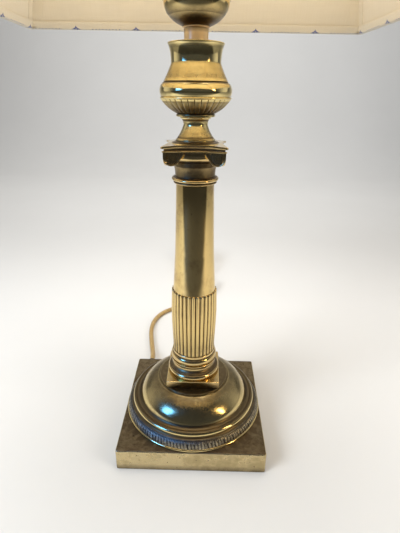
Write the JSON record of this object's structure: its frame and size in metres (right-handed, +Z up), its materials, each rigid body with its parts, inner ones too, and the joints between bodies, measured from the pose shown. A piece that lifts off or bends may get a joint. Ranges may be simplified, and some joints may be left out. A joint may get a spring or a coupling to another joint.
{
  "type": "table_lamp",
  "caption": "Turned brass candlestick table lamp with a reeded column, Ionic capital and gadrooned urn on a square base, under a square tapered cloth shade",
  "frame": {"origin": "on the table, under the middle of the column", "axes": "+Z up along the column, -Y towards the front, +X to the right seen from the front"},
  "size_m": [0.3934, 0.6734, 0.669],
  "materials": {
    "felt": "matte",
    "brass": "polished",
    "brass_plate": "satin",
    "steel": "satin",
    "zinc": "satin",
    "fibre": "matte",
    "bakelite": "matte",
    "black_glass": "glossy",
    "opal": "satin",
    "aluminium": "satin",
    "cloth": "matte",
    "lining": "matte",
    "hem": "matte",
    "cord": "satin",
    "plug": "satin"
  },
  "bodies": {
    "stand": {"felt_pad": "felt", "base_plate": "brass_plate", "foot_screws": "steel", "foot": "brass", "plinth_base": "brass", "shaft": "brass", "capital": "brass", "urn_foot": "brass", "gadrooned_bowl": "brass", "urn_body": "brass", "urn_cover": "brass", "neck_tube": "brass", "ball_lower": "brass", "ball_upper": "brass", "ball_collar": "brass", "tie_rod": "zinc", "rod_nut": "zinc", "rod_washer": "zinc", "harp_saddle": "brass", "lampholder_cap": "brass", "lock_nut": "zinc", "lampholder_shell": "brass", "insulating_liner": "fibre", "holder_body": "bakelite", "screw_shell": "aluminium", "centre_contact": "brass", "harp": "brass", "harp_sleeves": "brass", "harp_stud": "brass", "finial": "brass", "cord_grommet": "bakelite", "cord_lead": "cord", "cord_coil": "cord", "cord_tail": "cord", "coil_tie": "plug", "plug_body": "plug", "plug_blades": "zinc", "inner_flex": "cord"},
    "shade": {"shade_front": "cloth", "shade_right": "cloth", "shade_back": "cloth", "shade_left": "cloth", "shade_lining": "lining", "corner_tapes": "lining", "bottom_hem": "hem", "top_hem": "hem", "bottom_wire": "steel", "top_wire": "steel", "corner_struts": "steel", "shade_spider": "brass"},
    "switch": {"switch_spindle": "brass", "switch_knob": "bakelite"},
    "bulb_tip": {"bulb_contact": "zinc"},
    "bulb": {"bulb_glass": "opal", "bulb_cap": "aluminium", "bulb_insulator": "black_glass"}
  },
  "joints": [
    {"name": "shade_swivel", "type": "hinge", "parent": "stand", "child": "shade", "pos_m": [0, 0, 0.63496], "axis": [0, 0, 1], "continuous": true},
    {"name": "switch_turn", "type": "hinge", "parent": "stand", "child": "switch", "pos_m": [0, -0.022, 0.43266], "axis": [0, -1, 0], "continuous": true},
    {"name": "bulb_lift", "type": "slide", "parent": "stand", "child": "bulb_tip", "axis": [0, 0, 1], "range_m": [0, 0.0181]},
    {"name": "bulb_turn", "type": "hinge", "parent": "bulb_tip", "child": "bulb", "pos_m": [0, 0, 0.46], "axis": [0, 0, 1], "range_deg": [0, 1785]}
  ],
  "couplings": [
    {"joint": "bulb_lift", "follows": "bulb_turn", "m_per_rad": 0.00057773}
  ]
}
